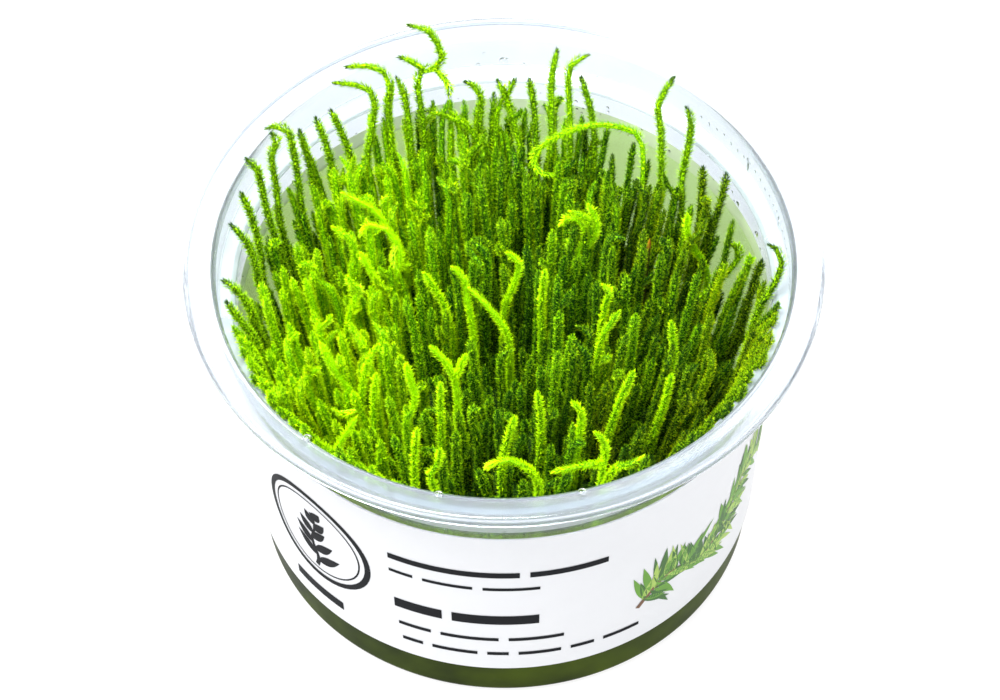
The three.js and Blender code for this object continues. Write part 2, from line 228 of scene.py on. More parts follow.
moulded_surface = moulding_group()
moss_green = moss_green_group()


# Materials


def start_material(name, values):
    """A material with one Principled shader. Its even values are set on the shader itself."""
    material = bpy.data.materials.new(name)
    material.use_nodes = True
    tree = material.node_tree
    shader = tree.nodes["Principled BSDF"]
    feed(tree, shader, values)
    return material, tree, shader


def moulded_material(name, roughness, wave, haze, bump, even_values):
    """A material with the moulded surface's bump and its slightly uneven roughness."""
    material, tree, shader = start_material(name, even_values)
    surface = use_group(tree, moulded_surface, {"Wave Scale": wave, "Haze": haze})
    rough = maths(tree, "ADD", surface["Roughness Shift"], roughness)
    feed(tree, shader, {"Roughness": rough, "Normal": bumped(tree, surface["Height"], *bump)})
    return material, tree, shader


def mottled(made, low, high, scale, detail=2.0, start=0.0, end=1.0):
    """A started material, coloured with clouds of two tints."""
    material, tree, shader = made
    share = stretched(tree, noise(tree, scale, detail), start, end)
    feed(tree, shader, {"Base Color": mixed(tree, share, low, high)})
    return material


def changing(made, axis, wander, scale, start, end, low, high):
    """A started material with a tint that turns into another along an axis, at an uneven line."""
    material, tree, shader = made
    along = add_node(tree, "ShaderNodeSeparateXYZ", {"Vector": object_place(tree)}).outputs[axis]
    place = maths(tree, "MULTIPLY_ADD", noise(tree, scale), wander, along)
    feed(tree, shader, {"Base Color": mixed(tree, stretched(tree, place, start, end), low, high)})
    return material


def cup_plastic(name, passed, shine, roughness):
    """Moulded plastic that lets a share of the light pass."""
    values = {"Transmission Weight": passed, "IOR": 1.49, "Specular IOR Level": shine}
    return moulded_material(name, roughness, 90.0, 0.12, (0.15, 0.0004), values)


def misted_and_painted_light_plastic():
    """Mist on the wall above the label: white in front, and painted green towards the back, as painted
    light from the film behind.
    """
    made = cup_plastic("misted_wall_painted_light_plastic", 0.35, 0.4, 0.3)
    white, lit = (0.93, 0.96, 0.96), (0.60, 0.76, 0.42)
    return changing(made, "Y", 0.02, 120.0, -0.004, 0.018, white, lit)


def water():
    clear = {"Base Color": (1, 1, 1, 1), "Transmission Weight": 1.0, "IOR": 1.333}
    return moulded_material("condensed_water", 0.02, 500.0, 0.02, (0.05, 0.0001), clear)[0]


def green_gel():
    """Nutrient gel, cloudy and stained green by the moss in it."""
    wet = {"IOR": 1.34, "Specular IOR Level": 0.1}
    made = moulded_material("green_gel", 0.22, 130.0, 0.2, (0.4, 0.0008), wet)
    return mottled(made, (0.16, 0.22, 0.02), (0.32, 0.38, 0.05), 90.0, 4.0, 0.35, 0.65)


def printed_film(name, colour, roughness=0.45, spread=0.2, shine=0.15):
    """Film or ink on the label, with a slight mottle in its colour."""
    gloss = {"Specular IOR Level": shine, "Coat Weight": 0.3 * shine}
    made = moulded_material(name, roughness, 220.0, 0.15, (0.08, 0.0002), gloss)
    low, high = [tuple(min(1, c * share) for c in colour) for share in (1 - spread, 1 + spread)]
    return mottled(made, low, high, 240.0, 3.0)


def old_stem():
    """An old stem without leaves: brown in the turf and orange towards its top."""
    made = moulded_material("old_stem", 0.6, 900.0, 0.2, (0.3, 0.0002), {"Specular IOR Level": 0.2})
    brown, orange = (0.035, 0.04, 0.003), (0.5, 0.21, 0.01)
    return changing(made, "Z", 0.003, 700.0, 0.0495, 0.0508, brown, orange)


def moss_leaf(name, shade, body, lime, glint_speck=0.6):
    """Moist moss leaves. Their light value picks the green between three."""
    material, tree, shader = start_material(name, {"Specular IOR Level": 0.12})
    greens = {"Shade": (*shade, 1), "Body": (*body, 1), "Lime": (*lime, 1), "Glint Speck": glint_speck}
    green = use_group(tree, moss_green, greens)
    normal = bumped(tree, noise(tree, 1500.0), 0.4, 0.0002)
    inputs = {"Base Color": green["Colour"], "Roughness": green["Roughness"], "Normal": normal}
    feed(tree, shader, inputs)
    return material


# Making meshes


def wall_radius(height):
    return BASE_RADIUS + (SHOULDER_RADIUS - BASE_RADIUS) * height / SHOULDER_HEIGHT


def new_mesh(name, points, faces):
    """A mesh from points in millimetres."""
    mesh = bpy.data.meshes.new(name)
    mesh.from_pydata((np.array(points) * MM).tolist(), [], faces)
    return mesh


def keep_values(mesh, name, values):
    """Keeps a value for each point of a mesh."""
    mesh.attributes.new(name, "FLOAT", "POINT").data.foreach_set("value", values.astype(np.float32))


def finish_piece(mesh, material, slot, *nodes):
    """Puts a mesh in the scene as a piece of the object that stands for some CAD nodes."""
    piece = add_object(mesh.name, mesh)
    mesh.materials.append(material)
    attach(piece, "root")
    if nodes:
        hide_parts(*nodes)


def arc(across, up, radius, start, end, steps):
    turns = [math.radians(start + (end - start) * i / steps) for i in range(steps + 1)]
    return [(across + radius * math.cos(a), up + radius * math.sin(a)) for a in turns]


def softened(profile, reach, steps=3):
    """A closed or open profile with each inner corner rounded off."""
    rounded = [profile[0]]
    for before, corner, after in zip(profile, profile[1:], profile[2:]):
        here = Vector(corner)
        ends = []
        for other in (Vector(before), Vector(after)):
            away = other - here
            ends.append(here + away.normalized() * min(reach, away.length * 0.45))
        for i in range(steps + 1):
            t = i / steps
            point = ends[0] * (1 - t) ** 2 + here * 2 * t * (1 - t) + ends[1] * t * t
            rounded.append((point.x, point.y))
    rounded.append(profile[-1])
    return rounded


def turned_mesh(name, profile, segments, closed=False):
    """A body turned about the Z axis, from radius and height pairs that run up the outside."""
    vertices = []
    rings = []
    for radius, height in profile:
        count = segments if radius > 0.001 else 1
        rings.append((len(vertices), count))
        for i in range(count):
            a = 2 * math.pi * i / segments
            vertices.append((radius * math.cos(a), radius * math.sin(a), height))
    faces = []
    for (low, low_count), (high, high_count) in zip(rings, rings[1:] + rings[:1] * closed):
        for i in range(segments):
            j = (i + 1) % segments
            if low_count == 1:
                faces.append((low, high + j, high + i))
            elif high_count == 1:
                faces.append((low + i, low + j, high))
            else:
                faces.append((low + i, low + j, high + j, high + i))
    mesh = new_mesh(name, vertices, faces)
    mesh.shade_smooth()
    mesh.set_sharp_from_angle(angle=math.radians(50))
    return mesh


def facing_out(face):
    """1 where a face of a round body looks away from its axis, and -1 where it looks inwards."""
    return face.normal.dot(Vector((face.center.x, face.center.y, 0)).normalized())


def make_cup():
    corner = wall_radius(CORNER_RADIUS) - CORNER_RADIUS
    floor = FOOT_RECESS + WALL
    inside_corner = CORNER_RADIUS - WALL
    foot_inside = corner - FOOT_WIDTH
    ledge_top = SHOULDER_HEIGHT + LEDGE_RISE
    flange_under = CUP_HEIGHT - WALL
    skirt = RIM_RADIUS - WALL
    skirt_bottom = CUP_HEIGHT - SKIRT_DROP
    outside = [
        (0, FOOT_RECESS),
        (foot_inside - 0.6, FOOT_RECESS),
        (foot_inside, 0),
        *arc(corner, CORNER_RADIUS, CORNER_RADIUS, -90, -2, 8),
        (wall_radius(LABEL_BOTTOM), LABEL_BOTTOM),
        (SHOULDER_RADIUS, SHOULDER_HEIGHT),
        (COLLAR_RADIUS, ledge_top),
        (COLLAR_RADIUS + 0.3, flange_under),
        (skirt, flange_under),
        (skirt, skirt_bottom),
        (RIM_RADIUS, skirt_bottom),
        (RIM_RADIUS, CUP_HEIGHT - 0.5),
        (RIM_RADIUS - 0.5, CUP_HEIGHT),
    ]
    inside = [
        (LIP_RADIUS, CUP_HEIGHT),
        (COLLAR_RADIUS - 0.1, CUP_HEIGHT - 0.6),
        (COLLAR_RADIUS - 0.6, CUP_HEIGHT - 2),
        (COLLAR_RADIUS - WALL, ledge_top + WALL / 2),
        (SHOULDER_RADIUS - WALL, SHOULDER_HEIGHT + WALL / 2),
        (wall_radius(MIST_TOP) - WALL, MIST_TOP),
        (wall_radius(MIST_BOTTOM) - WALL, MIST_BOTTOM),
        (wall_radius(GEL_TOP) - WALL, GEL_TOP + MENISCUS),
        *arc(corner, floor + inside_corner, inside_corner, -2, -90, 8),
        (0, floor),
    ]
    mesh = turned_mesh("cup_body", softened([*outside, *inside], 0.28), 192)
    clear = mottled(
        cup_plastic("clear_cup_plastic", 0.94, 0.5, 0.14),
        (0.66, 0.725, 0.80), (0.76, 0.81, 0.865), 120.0,
    )
    # Where the gel lies against the plastic, it stains it olive green
    foot = mottled(
        cup_plastic("stained_foot_plastic", 0.03, 0.03, 0.38),
        (0.013, 0.022, 0.001), (0.045, 0.07, 0.001), 75.0, 3.0, 0.35, 0.68,
    )
    ledge = mottled(
        cup_plastic("cloudy_ledge_plastic", 0.6, 0.3, 0.25),
        (0.46, 0.55, 0.58), (0.56, 0.64, 0.67), 120.0,
    )
    finish_piece(mesh, clear, "cup_plastic", "cup")
    for material in (foot, ledge, misted_and_painted_light_plastic()):
        mesh.materials.append(material)
    for face in mesh.polygons:
        height = face.center.z / MM
        inward = facing_out(face) <= 0
        if height < LABEL_BOTTOM or (inward and height < GEL_TOP + MENISCUS / 2):
            face.material_index = 1
        if inward and SHOULDER_HEIGHT < height < ledge_top + WALL / 2 + 0.1:
            face.material_index = 2
        if inward and MIST_BOTTOM < height < MIST_TOP:
            face.material_index = 3


def label_inside(height):
    return wall_radius(height) + GAP


def make_label():
    low = label_inside(LABEL_BOTTOM)
    high = label_inside(LABEL_TOP)
    profile = [
        (low, LABEL_BOTTOM),
        (low + LABEL_THICKNESS, LABEL_BOTTOM),
        (high + LABEL_THICKNESS, LABEL_TOP),
        (high, LABEL_TOP),
    ]
    mesh = turned_mesh("label_band", profile, 192, closed=True)
    front = printed_film("label_film", (0.665, 0.675, 0.70), 0.42, 0.02, 0.5)
    # Painted light: the back of the label is coloured pale green and made to glow, for the green light from
    # the moss and through the film.
    back = printed_film("label_back_painted_light", (0.66, 0.82, 0.32), 0.6, 0.05, 0.5)
    glow = {"Emission Color": (0.66, 0.85, 0.30, 1), "Emission Strength": LIGHT_THROUGH_FILM}
    feed(back.node_tree, back.node_tree.nodes["Principled BSDF"], glow)
    finish_piece(mesh, front, "label_film", "label")
    mesh.materials.append(back)
    for face in mesh.polygons:
        if facing_out(face) < -0.5:
            face.material_index = 1


# Print on the label: flat pieces of ink, laid out in millimetres along the label (to the
# right of its front) and up it. The same print is repeated at the back.


def bar(left, right, height, thickness):
    """A level stroke, in short lengths that follow the label's curve."""
    count = max(1, round((right - left) / 1.5))
    points = [(left + (right - left) * i / count, height) for i in range(count + 1)]
    return stroke(points, [thickness] * len(points))


def stroke(points, widths):
    """A ribbon along some points, as wide at each as the widths say."""
    line = [Vector(point) for point in points]
    edges = []
    for i, point in enumerate(line):
        along = (line[min(i + 1, len(line) - 1)] - line[max(i - 1, 0)]).normalized()
        across = Vector((-along.y, along.x)) * widths[i] / 2
        edges.append((tuple(point - across), tuple(point + across)))
    return [[a, c, d, b] for (a, b), (c, d) in zip(edges, edges[1:])]


def ring(across, height, radius, thickness):
    points = arc(across, height, radius, 0, 360, 48)
    return stroke(points, [thickness] * len(points))


def printed_leaf(across, height, length, width, turn):
    """A pointed oval leaf from its stalk end, in strips along its midrib."""
    steps = [i / 8 for i in range(9)]
    cos = math.cos(turn)
    sin = math.sin(turn)
    points = [(across + length * t * cos, height + length * t * sin) for t in steps]
    widths = [max(0.02, width * math.sin(math.pi * t**0.8)) for t in steps]
    return stroke(points, widths)


def printed_piece(name, shapes, material):
    """Ink shapes laid a hair's breadth over the label, at its front and at its back."""
    vertices = []
    faces = []
    middle = label_inside(30)
    for turn in (0, math.pi):
        for shape in shapes:
            faces.append([len(vertices) + i for i in range(len(shape))])
            for across, height in shape:
                a = across / middle + turn
                reach = label_inside(height) + LABEL_THICKNESS + 0.06
                vertices.append((reach * math.sin(a), -reach * math.cos(a), height))
    finish_piece(new_mesh(name, vertices, faces), material, "label_film")


# Lines of bars in place of words: height, thickness, left end and the length of each bar
PRINTED_LINES = [
    (37.2, 1.5, -19, (21, 12.5)),
    (33.0, 0.8, -19, (4, 8, 9)),
    (23.6, 2.6, -18.5, (8, 14)),
    (17.6, 0.9, -18, (5.5, 9.5, 9)),
    (13.2, 0.9, -17.5, (3.5, 7.5, 3.5, 7, 4, 6.5)),
]


def make_print():
    """A generic label: a sprig in a ring, lines of bars and a leafy vine."""
    ink = printed_film("dark_ink", (0.009, 0.01, 0.012), 0.45, 0.15, 0.03)
    brown = printed_film("brown_ink", (0.16, 0.08, 0.04))
    greens = {"deep": (0.04, 0.13, 0.02), "fresh": (0.12, 0.30, 0.03), "pale": (0.34, 0.50, 0.10)}

    bars = []
    for height, thickness, left, lengths in PRINTED_LINES:
        for length in lengths:
            bars += bar(left, left + length, height, thickness)
            left += length + 1.6
    printed_piece("printed_lines", bars, ink)

    sprig = ring(-34, 29.5, 11, 1.1) + ring(-34, 29.5, 9.4, 0.3)
    stalk = [(-34 + 0.5 * math.sin(t), 21 + 1.5 * t) for t in range(11)]
    sprig += stroke(stalk, [0.9 - 0.06 * i for i in range(11)])
    for i in range(1, 10):
        side = 1 if i % 2 else -1
        length = 6.6 - 0.4 * i
        turn = math.pi / 2 - side * (0.95 - 0.04 * i)
        sprig += printed_leaf(*stalk[i], length, 2.1, turn)
    sprig += bar(-40, -29, 13.2, 2.2)
    printed_piece("printed_sprig", sprig, ink)

    pattern = np.random.default_rng(3)
    vine = [(22 + 1.35 * t, 18 + 0.55 * t + 3.2 * math.sin(0.42 * t)) for t in range(27)]
    printed_piece("printed_stem", stroke(vine, [0.9 - 0.02 * i for i in range(27)]), brown)
    leaves = ([], [], [])
    for i in range(1, 27):
        for side in (-1, 1):
            for _ in range(3):
                length = pattern.uniform(4, 9.5)
                turn = 0.4 + side * pattern.uniform(0.4, 1.5)
                start = (vine[i][0] + pattern.uniform(-0.6, 0.6), vine[i][1])
                leaf = printed_leaf(*start, length, pattern.uniform(0.8, 1.6), turn)
                leaves[pattern.integers(3)].extend(leaf)
    for (name, colour), shapes in zip(greens.items(), leaves):
        printed_piece(f"printed_{name}_leaves", shapes, printed_film(f"{name}_green_ink", colour))


# Drops on the cup's inside: angle, height, and half of their width and of their height
DROPS = [
    (89.5, 58.6, 0.75, 0.6), (94.9, 57.6, 0.3, 0.3), (85.3, 57.5, 0.25, 0.3),
    (93.6, 60.2, 0.25, 0.2), (96.6, 54.9, 0.4, 0.35), (28.6, 59.3, 0.35, 1.8),
    (31.4, 53.4, 0.3, 1.3), (12.6, 58.9, 0.3, 1.6), (15.5, 54.0, 0.5, 0.7), (25.9, 53.0, 0.4, 0.6),
    (-81.8, 52.6, 0.45, 0.6), (-71.8, 53.4, 0.7, 0.5),
]
LIP_DROPS = [(-10.2, -45.6), (11.5, -45.4), (-30.2, -34.8)]

# Smaller drops by seeded chance: how many, and between which angles, heights and sizes,
# with how much taller than wide they are
COLLAR_DROPS = 18
SCATTERED_DROPS = [
    (70, (-160, -20), (49.2, 54.2), (0.16, 0.4), 1),
    (40, (0, 180), (50, 54), (0.12, 0.28), 1.4),
]


def drop_mesh_parts(place, across, up, out, steps=8):
    """The vertices and faces of one bead of water. Its half sizes are the lengths given."""
    around = 2 * steps
    vertices = []
    for i in range(steps + 1):
        a = math.pi * i / steps
        for j in range(around):
            b = math.pi * j / steps
            flat = across * math.cos(b) + out * math.sin(b)
            vertices.append(place + flat * math.sin(a) + up * math.cos(a))
    faces = []
    for low in range(0, steps * around, around):
        for j in range(around):
            k = (j + 1) % around
            faces.append((low + j, low + k, low + around + k, low + around + j))
    return vertices, faces


def make_drops():
    """Condensed water on the inside of the collar, the wall and the lip."""
    drops = list(DROPS)
    scatter = np.random.default_rng(11)
    for i in range(COLLAR_DROPS):
        height = 59.6 + scatter.uniform(-0.4, 0.4)
        drops.append((5 + 2.3 * i, height, 0.2, scatter.uniform(0.3, 0.55)))
    for count, angles, heights, sizes, taller in SCATTERED_DROPS:
        for _ in range(count):
            size = scatter.uniform(*sizes)
            place = (scatter.uniform(*angles), scatter.uniform(*heights))
            drops.append((*place, size, size * taller))
    up = Vector((0, 0, 1))
    beads = []
    for angle, height, half_width, half_height in drops:
        a = math.radians(angle)
        outward = Vector((math.cos(a), math.sin(a), 0))
        across = Vector((-math.sin(a), math.cos(a), 0))
        wall = COLLAR_RADIUS - WALL if height > 57 else wall_radius(height) - WALL
        thickness = min(0.35, half_width * 0.6)
        place = outward * (wall - thickness - 0.05) + up * height
        beads.append((place, across * half_width, up * half_height, outward * thickness))
    for x, y in LIP_DROPS:
        place = Vector((x, y, CUP_HEIGHT + 0.35))
        beads.append((place, Vector((0.7, 0, 0)), up * 0.3, Vector((0, 0.6, 0))))
    vertices = []
    faces = []
    for bead in beads:
        points, quads = drop_mesh_parts(*bead)
        faces += [[len(vertices) + i for i in quad] for quad in quads]
        vertices += points
    mesh = new_mesh("water_drops", vertices, faces)
    mesh.shade_smooth()
    finish_piece(mesh, water(), "cup_plastic")


def make_gel():
    clear = WALL + GAP
    bottom = FOOT_RECESS + clear
    corner = wall_radius(CORNER_RADIUS) - CORNER_RADIUS
    profile = [
        (0, bottom),
        *arc(corner, FOOT_RECESS + CORNER_RADIUS, CORNER_RADIUS - clear, -90, -2, 6),
        (wall_radius(GEL_TOP + MENISCUS) - clear, GEL_TOP + MENISCUS),
        (wall_radius(GEL_TOP) - clear - 1, GEL_TOP),
        (0, GEL_TOP),
    ]
    mesh = turned_mesh("gel_slab", softened(profile, 0.4), 144)
    finish_piece(mesh, green_gel(), "gel", "gel")


# Moss

# Shoots that stand out: how light each one is, and its route from where it leaves the turf
STANDING_SHOOTS = {
    "ring_shoot": (0.7, (-12.5, 31, 52.5), (-13, 33, 59), (-13.5, 34.5, 63), (-13.5, 35.5, 65.5),
        (-11.5, 36, 67), (-9.5, 35.5, 65.5), (-8.5, 34.5, 63.5), (-8.5, 34, 62)),
    "diagonal_shoot": (0.75, (-1.5, 28.5, 49.5), (-3.5, 30, 54), (-5, 31, 57), (-7, 31.2, 59.2),
        (-9.5, 31.5, 60.5), (-12.5, 31.5, 61.5)),
    "small_hook": (0.65, (-4, 32, 51.5), (-3.5, 33.5, 58), (-3.5, 34.5, 62), (-4.5, 35, 63.5),
        (-6, 35, 64.5)),
    "long_hook": (0.7, (-17.5, 27.5, 50), (-18.5, 32, 62), (-18, 33, 66), (-18.5, 34, 67.5),
        (-20, 34.5, 68.7), (-22.5, 34.5, 69.3), (-25, 34.5, 69)),
    "low_hook": (0.7, (-22, 27.5, 53), (-21, 29.5, 60), (-20.5, 31, 65), (-21.5, 32, 66.5),
        (-24, 32.3, 67.3), (-27, 32.5, 67.5)),
    "twin_tip": (0.7, (-14.8, 28.8, 52), (-15, 31, 58), (-15.5, 32.5, 62), (-16, 33.2, 65), (-17, 34, 67)),
    "fork_left": (0.7, (-1, 30.5, 51.5), (-1, 32.3, 56), (-0.8, 33.3, 59), (0.2, 34, 61.8)),
    "fork_right": (0.75, (3, 30.5, 51.5), (2.2, 32, 56), (1.2, 33.5, 59.5), (0.5, 34, 62), (-0.7, 35, 65)),
    "straight_shoot": (0.6, (5.5, 30.5, 51.5), (5.3, 33, 58), (4.8, 34.5, 62.5), (4.5, 35, 65)),
    "cluster_left": (0.75, (8, 29.5, 52.5), (8, 32.5, 58.5), (8, 34, 62.5), (8.2, 35.5, 66),
        (9, 37.5, 69.5)),
    "cluster_middle": (0.75, (11, 28, 53.5), (11, 31, 60), (10.8, 33, 64), (10.8, 34.6, 67.5),
        (11.8, 35.2, 69), (14, 35.7, 70)),
    "cluster_right": (0.65, (15, 29.5, 52.5), (14.5, 32.5, 59.5), (13.5, 34, 63), (12.8, 35, 65.5)),
    "long_curl": (0.8, (22.5, 23.5, 50), (22.8, 25.5, 55.5), (22, 27.5, 59.5), (19, 28, 61), (16, 28, 61.7),
        (13, 27.6, 61.7), (9.5, 27, 60.5), (6.5, 26, 59), (5, 25, 57), (6, 23.5, 55), (9, 23, 55)),
    "right_tall": (0.65, (25.5, 22.5, 50), (25.7, 24.5, 56), (25.5, 26.5, 62), (25, 28, 66), (26, 29, 68.5),
        (27.5, 30, 71)),
    "right_thin": (0.6, (29, 20.5, 49), (29, 23, 54), (30, 25, 60), (30.3, 26.5, 64.5), (29.5, 27.5, 66.5)),
    "right_blunt": (0.35, (31.5, 17.5, 45.5), (32, 20, 51), (32.2, 21, 54.5), (32.2, 21.7, 58.5)),
    "right_leaning": (0.35, (33, 14, 45.5), (34, 15.7, 51), (35.3, 17.5, 56.5), (35.8, 18.5, 60.5)),
    "right_curl": (0.65, (30, 6, 41), (33.5, 7.5, 45), (36, 8.5, 47.7), (37.7, 9.5, 50), (37.7, 10, 52),
        (36, 10, 53.5)),
    "right_bright": (0.95, (33, 11.5, 43), (32, 12.2, 46.5), (30.5, 12.5, 49.5), (29.5, 13, 53),
        (29.5, 13.5, 56.5)),
    "rim_hook_right": (0.5, (39, -6, 49), (40, -4.5, 54), (42.3, -3, 58.5), (43.7, -1.5, 62),
        (43.3, -0.3, 64), (41.5, 0.5, 65)),
    "rim_straight_right": (0.3, (38.5, 1.5, 44.5), (39.3, 2.3, 49), (40, 3, 53), (41, 3.5, 57)),
    "left_hook": (0.6, (-32.5, 19.5, 51.5), (-33, 21.5, 58), (-33.5, 22.5, 63), (-34, 23.2, 66),
        (-35.3, 23.5, 67.7), (-37.7, 23.5, 67)),
    "left_kinked": (0.6, (-36, 16.8, 51.5), (-36.3, 18.8, 57.5), (-36.8, 20, 62), (-36.8, 20.8, 64.7),
        (-35.8, 21.2, 66.5), (-36.7, 21.2, 68.5)),
    "left_lean_back": (0.55, (-36.5, 12.5, 52), (-37.7, 14, 58), (-38.5, 15.5, 63), (-39, 16, 66),
        (-40.7, 16.5, 68)),
    "left_lean_middle": (0.55, (-38.5, 7.5, 46), (-38.9, 9.5, 53), (-39.5, 10.5, 57.5), (-40.5, 11.3, 62),
        (-41.5, 12, 65)),
    "left_lean_front": (0.55, (-39, 3.5, 53), (-39.6, 4.5, 58), (-40.7, 5, 61.5), (-43, 6, 64.5)),
    "left_low_back": (0.6, (-39, -4.3, 50), (-40.2, -4.3, 56.5), (-42, -4, 60.5), (-44, -4, 63)),
    "left_low_front": (0.6, (-38.5, -9, 48), (-39.4, -8.8, 54), (-41.5, -8.6, 59), (-43.3, -8.3, 63)),
    "left_tip_front": (0.62, (-30.5, 23.5, 51), (-31.3, 25, 57), (-32.5, 26, 63.5)),
    "left_tip_middle": (0.62, (-27.5, 26.7, 52), (-28.7, 28, 58.5), (-30, 29, 63)),
    "left_tip_back": (0.62, (-24.5, 28.7, 52), (-26, 30, 58), (-27.7, 31, 62.5)),
    "curl_head": (0.95, (-17, 5.5, 52), (-16.5, 6, 56), (-17.5, 7, 59.5), (-19, 7.5, 61.5),
        (-21.5, 7.5, 62), (-22.7, 7, 60)),
    "knob_head": (0.95, (-16.5, 11, 51), (-20.5, 12.5, 59.5), (-23, 12.5, 62), (-25.5, 13, 63.5)),
    "zigzag_shoot": (1.0, (-19, 0.5, 46), (-19.5, 1, 51.5), (-19.7, 1.5, 54.5), (-21, 1.7, 57.5),
        (-22.5, 2, 62)),
    "crooked_shoot": (1.0, (-5, -3.5, 49), (-5.5, -3, 53.5), (-6, -2, 57), (-6.3, -1.5, 59.7),
        (-8, -1, 62)),
    "crooked_fork": (0.9, (0.5, -7, 52), (-1, -6.5, 55.5), (-3, -5.2, 58), (-5.5, -3.5, 59.8)),
    "bent_tip": (0.9, (0, 0.5, 46), (0.3, 1, 50), (1.5, 1.2, 54), (2.4, 2, 59), (0.5, 2, 61.7)),
    "plume_shoot": (0.95, (11, 6.5, 43), (11.5, 7.7, 49), (12, 8.5, 53), (13, 9, 56.5), (12.3, 9.5, 60),
        (10.3, 9.7, 61), (9, 9.5, 59)),
    "sabre_shoot": (1.05, (-24, -18.5, 46), (-24, -18, 50.5), (-25, -17.5, 54), (-26.5, -17.3, 57),
        (-28.5, -16.5, 63)),
    "sabre_leg": (0.95, (-26.5, -29, 50), (-25, -28.7, 55), (-23, -28, 59)),
    "twisted_shoot": (1.0, (-15.8, -22, 45), (-15, -21, 50), (-14, -20.5, 54), (-14.7, -20, 58),
        (-15.2, -20, 62)),
    "vee_left": (0.9, (-7.5, -18, 46), (-7.5, -17.5, 51), (-8, -17, 54.5), (-9.3, -17, 58.5),
        (-11.5, -16.5, 61.7)),
    "front_arch": (0.95, (5, -35, 47), (5, -36, 52), (4, -36.5, 56), (2.3, -37, 58.8), (0, -37, 60),
        (-2, -37, 59), (-3.2, -36.5, 57)),
    "front_head": (0.85, (11, -27.5, 47), (11.5, -27, 53), (11.7, -26.5, 58), (10.3, -26.5, 60.5)),
    "front_hook": (0.85, (14.5, -35, 49), (15, -34.5, 54.5), (15.3, -34.3, 58), (15, -34, 60.5),
        (13.7, -33.7, 62.3)),
}

# Branches of those shoots, from the fork to the tip
FORKED_BRANCHES = {
    "ring_hook": (0.7, (-11, 36, 66.5), (-9.5, 36.5, 68.5), (-10, 37, 70.5), (-10.5, 37.5, 72),
        (-12, 38, 74), (-15, 38.5, 74.5)),
    "ring_branch": (0.75, (-12.5, 36, 66.5), (-14.5, 36.5, 68), (-16.5, 36.5, 69)),
    "fork_right_tip": (0.7, (0.7, 34, 61.5), (1.3, 34.5, 63.3), (2.3, 35, 65.2)),
    "plume_branch": (0.95, (12.3, 8.6, 54), (14.7, 9.2, 56.7), (14.7, 10, 60), (13.5, 10.5, 63)),
    "vee_right": (0.9, (-7.9, -17.2, 54), (-7, -17.5, 57.5), (-6, -17.5, 61)),
    "front_flat": (0.9, (15, -36.5, 58), (13, -38, 60), (10, -39, 60.5), (7, -39.5, 60)),
}

# Smaller shoots and spurs with a shape of their own, which belong to the turf
TURF_ROUTES = [
    (0.9, (-17, 6.5, 58.5), (-17.5, 6, 55), (-16.5, 6, 53), (-15, 6, 54)),
    (0.95, (-23.5, 4.5, 46.5), (-23.5, 5.5, 57), (-24, 6, 59.5), (-25.5, 6, 62), (-27, 6.5, 63)),
    (0.95, (-25, -3.5, 46.5), (-23.5, -2.5, 56), (-22.5, -2, 57.5), (-24, -2, 59), (-24.5, -2, 61)),
    (1.0, (-8.5, -2.5, 47.5), (-10, -1.5, 54.5), (-11, -1.5, 57), (-12.5, -1, 60.5)),
    (0.85, (6, -3, 46), (6, -2, 54.5), (6.5, -1.5, 61.5)),
    (0.85, (13, 8.5, 54), (14, 9, 56), (14, 9.5, 58.5), (12.5, 9.5, 61.5), (10.5, 10, 62)),
    (0.8, (11, 8.5, 52.5), (10.5, 9, 55), (11.5, 9, 57)),
    (0.95, (15, -5.5, 47), (16, -5, 57), (16.5, -4.5, 60), (15.5, -4.5, 61.5)),
    (0.85, (14.5, -11, 48), (15.5, -10, 55.5), (18, -9, 60.5)),
    (1.0, (-23, -27, 59.5), (-25, -27.5, 59), (-26.5, -27, 60)),
    (0.95, (-22, -19.5, 42), (-22.5, -18, 50.5), (-21, -17, 59.5), (-19.5, -16.5, 62.5)),
    (0.95, (-20.5, -22, 42), (-20.5, -20.5, 52), (-20, -20, 59.5)),
    (0.9, (-14, -33.5, 45), (-14, -32.5, 56), (-13.5, -32, 61.5)),
    (0.8, (-10, -25, 45), (-10, -24, 54), (-10, -23, 61)),
    (0.9, (-10.5, -37, 50), (-11.5, -36.5, 56), (-10.5, -36, 57.5), (-10, -36, 61.5)),
    (0.8, (-0.5, -29.5, 48), (0.3, -29, 54), (1.5, -28.5, 59.5)),
    (0.85, (5.5, -25, 44), (5.5, -24, 54.5), (5, -23.5, 59)),
    (0.8, (15, -36, 50), (17, -37.5, 58.5), (19, -38, 60), (21, -37, 60.5)),
    (0.75, (16, -21.5, 43.5), (18, -20.7, 53), (20, -20, 59.5)),
    (0.75, (23.5, -20, 43), (25, -19.2, 50), (26, -18.5, 56.5)),
    (0.7, (25.5, -13, 45), (26.5, -12.5, 54), (26, -11.5, 61)),
]

# Where tall shoots lean out to the lip, in degrees round the cup from its right
LIP_SHOOTS = [*range(194, 246, 3), *range(312, 354, 3)]

TURF_SHOOTS = 920
TURF_PIECES = 6
LEAVES_PER_MM = 36
DEEP_LEAVES_PER_MM = 12
LEAF_NOISE = 0.16
LEAF_LENGTH = 0.62
LEAF_HALF_WIDTH = 0.16
LEAF_ANGLE = 42
LIME = 0.8
LIME_LIFT = 0.18
LIME_TIP = 8
STEM = 0.45
THIN_STEM = 0.36
TALL_LEAFY = 24
LOW_LEAFY = 11
STEM_SIDES = 5
SWAY = 1.1
BENT_SHARE = 0.34
BRANCHED_SHARE = 0.2

# The front of the turf ends at this angle. Its height is even at the front left and dips at
# the very front: place, and reach across and backwards
FRONT_END = math.radians(8)
EVEN_STRETCH = (-31, -14, 13, 20)
FRONT_DIP = (2, -38, 20, 9)
SIGHT_SLOPE = 1.32

